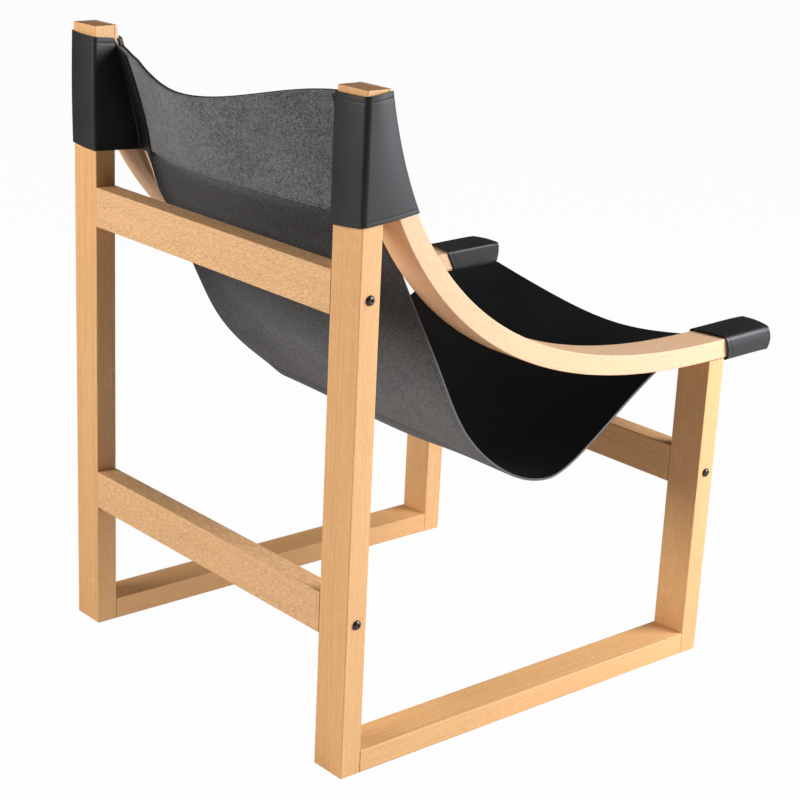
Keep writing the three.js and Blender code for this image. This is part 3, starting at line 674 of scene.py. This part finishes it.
grain_side = smooth_hide("hide_grain_side", dark=(0.0025, 0.0026, 0.0028), pale=(0.0050, 0.0052, 0.0056),
                         dull=0.50, gloss=0.15)
sleeve_side = smooth_hide("hide_sleeve_side", dark=(0.0045, 0.0045, 0.0047), pale=(0.0115, 0.0115, 0.0120),
                          dull=0.38, gloss=0.50)


# A distance that is written on the hide's points, brought to a ramp's range
def written(tree, distance, per_metre):
    metres = node(tree, "ShaderNodeAttribute", {"attribute_name": distance}).outputs["Fac"]
    return math_node(tree, "MULTIPLY", metres, per_metre)


creased = [(0.24, 0.0), (0.28, 1.0), (0.33, 0.0)]
painted_crease_shade = (0.012, 0.012, 0.013)


# Raw flesh side: clouds where the dye took unevenly, short fibres, painted shade near the upper rail, a line
# creased 5.6 mm inside the free edges, and a fold mark across the seat's underside with painted shade on one
# side.
# The creases are darkened with painted shade
def napped_hide(name, dark, mid, pale, rail_shade):
    made, tree = fresh_material(name)
    here = object_place(tree)
    height = node(tree, "ShaderNodeSeparateXYZ", Vector=here).outputs["Z"]
    clouds = noise(tree, here, (1, 1, 0.7), scale=13, detail=7, roughness=0.68, distortion=0.5)
    nap = noise(tree, here, alike, scale=560, detail=2, roughness=0.6)
    from_edge = written(tree, "from_edge", 50.0)
    from_fold = written(tree, "from_fold", 10.0)
    crease = math_node(tree, "MAXIMUM", ramp(tree, from_edge, *creased), ramp(tree, from_fold, *creased))
    # Painted shade on the strip past the fold, where the hide turns away from the light
    past_fold_shade = ramp(tree, from_fold, (0.03, 0.0), (0.06, 0.35), (0.25, 0.35), (0.29, 0.0))
    fleck = noise(tree, here, (1, 1, 0.7), scale=210, detail=5, roughness=0.8)
    shade = mix_colour(tree, ramp(tree, clouds, (0.36, 0.0), (0.66, 1.0)), dark, mid)
    shade = mix_colour(tree, ramp(tree, fleck, (0.40, 0.0), (0.68, 0.70)), shade, pale)
    shade = mix_colour(tree, ramp(tree, nap, (0.36, 0.72), (0.50, 0.0)), shade, dark)
    shade = mix_colour(tree, ramp(tree, nap, (0.50, 0.0), (0.64, 0.50)), shade, pale)
    shade = mix_colour(tree, past_fold_shade, shade, dark)
    # Painted shade in the creases
    shade = mix_colour(tree, math_node(tree, "MULTIPLY", crease, 0.7), shade, painted_crease_shade)
    # Painted shade near the upper rail, where the rail keeps light off the hide; the painted shadow keeps the
    # nap's texture
    behind = ramp(tree, height, (0.42, 0.0), (0.53, rail_shade), (0.645, rail_shade), (0.665, 0.0))
    shadow = mix_colour(tree, ramp(tree, nap, (0.38, 0.0), (0.62, 1.0)),
                        tuple(part * 0.05 for part in dark), tuple(part * 0.95 for part in dark))
    shade = mix_colour(tree, behind, shade, shadow)
    relief = math_node(tree, "SUBTRACT", nap, math_node(tree, "MULTIPLY", crease, 1.5))
    surface(tree, bumped=(relief, 0.6, 0.0006), Base_Color=shade, Roughness=0.95, Specular_IOR_Level=0.1,
            Sheen_Weight=0.12, Sheen_Roughness=0.6)
    return made


flesh_side = napped_hide("hide_flesh_side", dark=(0.036, 0.038, 0.043), mid=(0.088, 0.093, 0.104),
                         pale=(0.176, 0.185, 0.201), rail_shade=0.82)
# The band's flesh side is lighter than the panel's: painted light, as more light falls on the band's face
band_side = napped_hide("hide_band_side", dark=(0.042, 0.044, 0.049), mid=(0.114, 0.119, 0.129),
                        pale=(0.245, 0.254, 0.268), rail_shade=0.0)


def edge_of_hide(name, dark, pale):
    made, tree = fresh_material(name)
    here = object_place(tree)
    fuzz = noise(tree, here, alike, scale=600, detail=3)
    shade = mix_colour(tree, fuzz, dark, pale)
    surface(tree, bumped=(fuzz, 0.3, 0.0003), Base_Color=shade, Roughness=0.7)
    return made


raw_edge = edge_of_hide("hide_raw_edge", dark=(0.060, 0.062, 0.066), pale=(0.125, 0.129, 0.135))
black_edge = edge_of_hide("hide_black_edge", dark=(0.004, 0.004, 0.004), pale=(0.010, 0.010, 0.010))


# Gives a sheet its thickness. Its materials are those of its face, its back and its rim
def thickened(piece, thickness):
    wall = piece.modifiers.new("hide_thickness", "SOLIDIFY")
    wall.thickness = thickness
    wall.offset = 0.0
    wall.use_even_offset = True
    wall.material_offset = 1
    wall.material_offset_rim = 2
    arris = piece.modifiers.new("rim_arrises", "BEVEL")
    arris.width = 0.0004
    arris.segments = 2
    arris.limit_method = "ANGLE"
    arris.angle_limit = math.radians(60)
    even_out = piece.modifiers.new("even_normals", "WEIGHTED_NORMAL")
    even_out.keep_sharp = True


steps_across = 72
steps_along = 132
fold_along = 0.555
fold_slant = 0.03
fold_line = 0.028
bm = bmesh.new()
bmesh.ops.create_grid(bm, x_segments=steps_across, y_segments=steps_along, size=1)
for face in bm.faces:
    top_row = face.calc_center_median().y > 1 - 2 / steps_along
    face.material_index = 3 if top_row else 0
from_edge = bm.verts.layers.float.new("from_edge")
from_fold = bm.verts.layers.float.new("from_fold")
for vert in bm.verts:
    across, along = vert.co.x, (1 - vert.co.y) / 2
    vert[from_edge] = sling_half(along) * (1 - abs(across))
    vert[from_fold] = fold_line + (fold_along - fold_slant * max(across, 0) - along) * edge_line.length
    vert.co = sling_point(across, along)
bmesh.ops.recalc_face_normals(bm, faces=bm.faces)
if sum(face.normal.z for face in bm.faces) < 0:
    bmesh.ops.reverse_faces(bm, faces=bm.faces)
# The top row has a black rim, and the other edges are left raw
sling_hides = [grain_side, flesh_side, raw_edge, grain_side, flesh_side, black_edge]
sling = finished_piece("sling_panel_hide", bm, sling_hides, "hide_grain")
sling.data.shade_smooth()
thickened(sling, hide)
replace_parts(sling, "sling_panel")


# ---- Back band: a second hide behind the sling's top, flesh side out, sewn along its lower edge and caught
# in the rear sleeves at its ends.
band_steps = 20
bm = bmesh.new()
bmesh.ops.create_grid(bm, x_segments=steps_across, y_segments=band_steps, size=1)
for vert in bm.verts:
    vert.co = behind_sling(vert.co.x, rear_held * (1 - vert.co.y) / 2, hide + sleeve_gap)
bmesh.ops.recalc_face_normals(bm, faces=bm.faces)
if sum(face.normal.y for face in bm.faces) < 0:
    bmesh.ops.reverse_faces(bm, faces=bm.faces)
band = finished_piece("back_band_hide", bm, [band_side, grain_side, band_side], "hide_suede")
band.data.shade_smooth()
thickened(band, hide)
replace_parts(band, "back_band")


# Waxed black thread: one small rounded stitch every 5 mm along a line on a hide's face
stitch_pitch = 0.005
stitch_size = (0.0017, 0.0005, 0.0004)
black_thread, tree = fresh_material("black_thread")
here = object_place(tree)
twist = noise(tree, here, alike, scale=2500, detail=2)
shade = mix_colour(tree, twist, (0.004, 0.004, 0.004), (0.016, 0.016, 0.017))
surface(tree, bumped=(twist, 0.4, 0.0001), Base_Color=shade, Roughness=0.5)


# The line beside it and a point inside the piece tell which way the hide's face looks
def stitch_line(bm, line, beside, inside, lift):
    due = stitch_pitch / 2
    for here, after, aside in zip(line, line[1:], beside):
        span = (after - here).length
        while due < span:
            place = here.lerp(after, due / span)
            along = (after - here).normalized()
            outward = along.cross((aside - here).normalized()).normalized()
            if outward.dot(place - inside) < 0:
                outward.negate()
            turn = Matrix((along, outward.cross(along), outward)).transposed().to_4x4()
            shape = Matrix.Translation(place + outward * lift) @ turn @ Matrix.Diagonal((*stitch_size, 1))
            bmesh.ops.create_icosphere(bm, subdivisions=1, radius=1, matrix=shape)
            due += stitch_pitch
        due -= span


def sewn_row(name, bm):
    made = finished_piece(name, bm, black_thread)
    made.data.shade_smooth()
    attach(made, "root")
    return made


in_the_seat = Vector((0, -1, 0.7))
seam_inset = 0.004
seam_steps = 120
seam_end = 0.86
band_seam = bmesh.new()
seam_along = rear_held - seam_inset / edge_line.length
seam_reach = [-seam_end + 2 * seam_end * step / seam_steps for step in range(seam_steps + 1)]
seam_line = [behind_sling(reach, seam_along, hide + sleeve_gap) for reach in seam_reach]
seam_beside = [behind_sling(reach, seam_along - 0.01, hide + sleeve_gap) for reach in seam_reach]
stitch_line(band_seam, seam_line, seam_beside, in_the_seat, hide / 2)
band_stitches = sewn_row("back_band_stitches", band_seam)


# ---- Rear sleeves: a hide strip wrapped round the rear post and the arm's top together, grain side out,
# pulled straight across the arm's hollow front. One end stops at the sling's front face, and the other is
# folded on to the back of the band as a flap and sewn down, with its lower corner left as a short tail.
rim_corners = ("inner_front", "outer_front", "outer_back", "inner_back")
rear_rims = {
    "right": {"top": dict(zip(rim_corners, (0.0120, 0.0020, 0.0060, 0.0070))),
              "bottom": dict(zip(rim_corners, (0.156, 0.138, 0.1465, 0.1515)))},
    "left": {"top": dict(zip(rim_corners, (0.0165, 0.0030, 0.0110, 0.0130))),
             "bottom": dict(zip(rim_corners, (0.1597, 0.142, 0.1516, 0.1554)))},
}
flap_edge = {"right": 0.212, "left": 0.204}
flap_tail = {"right": 0.004, "left": 0.008}
flap_away = hide / 2 + sleeve_gap + hide + sleeve_gap + skived / 2
flap_fold = 0.0045
flap_below_top = 0.0015
flap_steps = 8
bend_steps = 6
beside_edge = 0.999
even_foot = 0.151
even_top = 0.010
first_corner_room = 0.0036
rear_rows = 32
rear_stitches = (0.036, 0.950)
rear_groove = 0.009
rear_aside = -0.02
stitch_dip = 0.0003
sleeve_middle_depth = 0.015
sleeve_middle_height = 0.73
sleeve_hides = [sleeve_side, flesh_side, black_edge]

# How loose the sleeve is behind the post and outside it, and its corners' radii there, at the lower and the
# upper rim. The bellies are those of the outer and the rear face
looseness = (0.0023, 0.0025)
loose_belly = 0.0007
outer_radius = (0.0066, 0.0074)
inner_radius = (0.0033, 0.0044)
outer_belly = 0.0016
rear_belly = 0.0014
arm_inner_radius = 0.0032
arm_outer_radius = 0.0034
arm_corner_across = 0.0526
arm_corner_off = 0.0014


# A line through corners that are each rounded to a radius. Every corner has its place, its radius and how far
# the flat that leads to it bellies out
def rounded_path(corners, flats=6, turns=6):
    points = [Vector(corners[0][0])]
    for (before, _, _), (corner, radius, bulge), (after, _, _) in zip(corners, corners[1:], corners[2:]):
        corner = Vector(corner)
        back, on = (Vector(before) - corner).normalized(), (Vector(after) - corner).normalized()
        half = back.angle(on) / 2
        centre = corner + (back + on).normalized() * (radius / math.sin(half))
        start = corner + back * (radius / math.tan(half)) - centre
        finish = corner + on * (radius / math.tan(half)) - centre
        begun, reached = points[-1], centre + start
        out = (corner - centre) - (corner - centre).project(reached - begun)
        for step in range(1, flats + 1):
            share = step / (flats + 1)
            points.append(begun.lerp(reached, share) + out.normalized() * bulge * math.sin(math.pi * share))
        sweep = math.pi - 2 * half
        for step in range(turns + 1):
            share = step / turns
            turned = start * math.sin((1 - share) * sweep) + finish * math.sin(share * sweep)
            points.append(centre + turned / math.sin(sweep))
    begun, reached = points[-1], Vector(corners[-1][0])
    return points + [begun.lerp(reached, step / flats) for step in range(1, flats + 1)]


# Lays a grid over a table of rows, each with the share of the way from the lower to the upper rim
def grid_piece(name, table, material, slot):
    bm = bmesh.new()
    across, up = len(table[0][1]) - 1, len(table) - 1
    bmesh.ops.create_grid(bm, x_segments=across, y_segments=up, size=1)
    for vert in bm.verts:
        vert.co = table[round((vert.co.y + 1) / 2 * up)][1][round((vert.co.x + 1) / 2 * across)]
    made = finished_piece(name, bm, material, slot)
    made.data.shade_smooth()
    return made


# Rows of a sleeve from rim to rim, closer together beside its stitch lines, with the hide's dip at each row
def sewn_rows(count, lines, groove):
    shares = [step / count for step in range(count + 1)]
    for line in lines:
        shares = [share for share in shares if abs(share - line) > groove * 1.6]
        shares += [line + groove * step for step in (-1.5, -0.75, 0, 0.75, 1.5)]
    return [(share, sum(swell(1, share, line, 0.6 * groove) for line in lines)) for share in sorted(shares)]


def table_row(table, share):
    for (low, before), (high, after) in zip(table, table[1:]):
        if low <= share <= high:
            return [a.lerp(b, (share - low) / (high - low)) for a, b in zip(before, after)]
    return table[-1][1]


# Turns a sleeve grain side out, seen from a point inside it, and gives it its thickness
def grain_out(piece, middle):
    if sum(face.normal.dot(face.center - middle) for face in piece.data.polygons) < 0:
        piece.data.flip_normals()
    thickened(piece, skived)


def rear_sleeve(side, sign):
    rims = rear_rims[side]
    cover = sleeve_gap + skived / 2
    inner = inner_x - cover
    middle_depth = post_back_y - sleeve_middle_depth
    middle = Vector((sign * (inner_x + timber_width / 2), middle_depth, sleeve_middle_height))

    # Seen from above, at one height: across, and depth in front of the post's back. Two of the corners are in
    # front of the arm and two behind the post
    def path(height, share, begins, ends):
        loose = between(*looseness, share) + loose_belly * math.sin(math.pi * share)
        outer = inner_x + timber_width + loose
        arm_front = arm_face(height, 1, arm_thick / 2).x
        return rounded_path([
            ((inner, begins), 0, 0),
            ((inner, chord_depth(height) + cover), arm_inner_radius, 0),
            ((inner_x + arm_corner_across, arm_front + arm_corner_off), arm_outer_radius, 0),
            ((outer, -loose), between(*outer_radius, share), outer_belly),
            ((inner, -loose), between(*inner_radius, share), rear_belly),
            ((inner, ends), 0, 0),
        ])

    def rim(drops, place, deepest):
        across = min(max((place.x - inner) / (timber_width + 2 * cover), 0), 1)
        along = min(max(place.y / deepest, 0), 1)
        back = between(drops["inner_back"], drops["outer_back"], across)
        front = between(drops["inner_front"], drops["outer_front"], across)
        return post_height - between(back, front, along)

    table = []
    for share, dip in sewn_rows(rear_rows, rear_stitches, rear_groove):
        along = rear_held * (1 - share) + flap_below_top / edge_line.length * share
        fold = behind_sling(sign * beside_edge, along, flap_away)
        fold_depth = post_back_y - fold.y
        ends = fold_depth - flap_fold
        sling_front = behind_sling(sign * beside_edge, along, -(hide / 2 + sleeve_gap))
        height = between(post_height - even_foot, post_height - even_top, share)
        begins = min(post_back_y - sling_front.y, chord_depth(height) + cover - first_corner_room)
        outline = path(height, share, begins, ends)
        ring = []
        for index, place in enumerate(outline):
            level = height
            for _ in range(2):
                deepest = chord_depth(level)
                level = between(rim(rims["bottom"], place, deepest), rim(rims["top"], place, deepest), share)
                place = path(level, share, begins, ends)[index]
            point = Vector((sign * place.x, post_back_y - place.y, level))
            inward = Vector((middle.x - point.x, middle.y - point.y, 0)).normalized()
            ring.append(point + inward * dip * stitch_dip)
        flap = []
        for step in range(flap_steps + 1):
            across_flap = step / flap_steps
            reach = between(inner - flap_fold, flap_edge[side], across_flap)
            tail = flap_tail[side] * across_flap ** 2 * (1 - share) ** 4
            lower = along + tail / edge_line.length
            flap.append(behind_sling(sign * reach / sling_half_width, lower, flap_away))
        bend = Vector((sign * inner, fold.y, (ring[-1].z + flap[0].z) / 2))
        last = ring[-1]
        for step in range(1, bend_steps):
            bent = step / bend_steps
            ring.append(last.lerp(bend, bent).lerp(bend.lerp(flap[0], bent), bent))
        table.append((share, ring + flap))

    made = grid_piece(f"rear_sleeve_{side}_hide", table, sleeve_hides, "hide_grain")
    grain_out(made, middle)
    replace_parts(made, f"rear_sleeve_{side}")

    seams = bmesh.new()
    for share in rear_stitches:
        line, beside = table_row(table, share), table_row(table, share + rear_aside)
        wrapped = len(line) - flap_steps
        stitch_line(seams, line[:wrapped], beside[:wrapped], middle, skived / 2)
    flap_line = [ring[-2] for _, ring in table]
    flap_beside = [ring[-3] for _, ring in table]
    stitch_line(seams, flap_line, flap_beside, in_the_seat, skived / 2)
    stitches = sewn_row(f"rear_sleeve_{side}_stitches", seams)


for side, sign in (("right", -1), ("left", 1)):
    rear_sleeve(side, sign)


# ---- Front sleeves: a hide wrapped round the arm in front of the leg, grain side out. It is a little slack
# under the arm, its front rim is rounded, and its slant leaves a sliver of the arm's outer tip bare.
front_rim_rear = {"inner_top": 0.0995, "outer_top": 0.0900, "outer_bottom": 0.0840, "inner_bottom": 0.0860}
front_rim_front = {"inner_top": -0.0030, "outer_top": 0.0050, "outer_bottom": 0.0035, "inner_bottom": -0.0010}
front_rows = 18
front_stitches = (0.085, 0.955)
front_groove = 0.014
front_aside = 0.03
front_middle_inset = 0.045
rim_round = 0.0018
off_arm = 0.0024
slack_below = 0.0040


def front_sleeve(side, sign):
    cover = sleeve_gap + skived / 2
    inner = inner_x - cover
    outer = inner_x + timber_width + off_arm
    top = arm_thick / 2 + off_arm
    slack = arm_thick / 2 + slack_below
    middle_depth = post_back_y - arm_end_depth + front_middle_inset
    middle = Vector((sign * (inner_x + timber_width / 2), middle_depth, arm_tip))
    outline = rounded_path([
        (((inner + outer) / 2, -slack), 0, 0),
        ((inner, -arm_thick / 2 - cover), 0.0030, 0),
        ((inner, top), 0.0034, 0),
        ((outer, top), 0.0066, 0.0009),
        ((outer, -slack), 0.0070, 0.0010),
        (((inner + outer) / 2, -slack), 0, 0),
    ])

    def rim(setbacks, place, round_off):
        across = min(max((place.x - inner) / (outer - inner), 0), 1)
        up = min(max((place.y + arm_thick / 2) / arm_thick, 0), 1)
        low = between(setbacks["inner_bottom"], setbacks["outer_bottom"], across)
        high = between(setbacks["inner_top"], setbacks["outer_top"], across)
        rounded = round_off * (math.sin(math.pi * across) + math.sin(math.pi * up))
        return arm_end_depth - between(low, high, up) + rounded

    table = []
    for share, dip in sewn_rows(front_rows, front_stitches, front_groove):
        ring = []
        for place in outline[:-1]:
            depth = between(rim(front_rim_rear, place, 0.0), rim(front_rim_front, place, rim_round), share)
            height = arm_face(depth, 0, 0.0).y
            inward = Vector((sign * ((inner + outer) / 2 - place.x), 0, -place.y)).normalized()
            point = Vector((sign * place.x, post_back_y - depth, height + place.y))
            ring.append(point + inward * dip * stitch_dip * 2)
        table.append((share, ring))
    bm = bmesh.new()
    before = None
    for _, ring in table:
        verts = [bm.verts.new(point) for point in ring]
        edges = [bm.edges.new((verts[i], verts[(i + 1) % len(verts)])) for i in range(len(verts))]
        if before:
            bmesh.ops.bridge_loops(bm, edges=before + edges)
        before = edges
    bmesh.ops.recalc_face_normals(bm, faces=bm.faces)
    made = finished_piece(f"front_sleeve_{side}_hide", bm, sleeve_hides, "hide_grain")
    made.data.shade_smooth()
    grain_out(made, middle)
    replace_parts(made, f"front_sleeve_{side}")

    seams = bmesh.new()
    for share in front_stitches:
        line, beside = table_row(table, share), table_row(table, share + front_aside)
        stitch_line(seams, line, beside, middle, skived / 2)
    stitches = sewn_row(f"front_sleeve_{side}_stitches", seams)


for side, sign in (("right", -1), ("left", 1)):
    front_sleeve(side, sign)
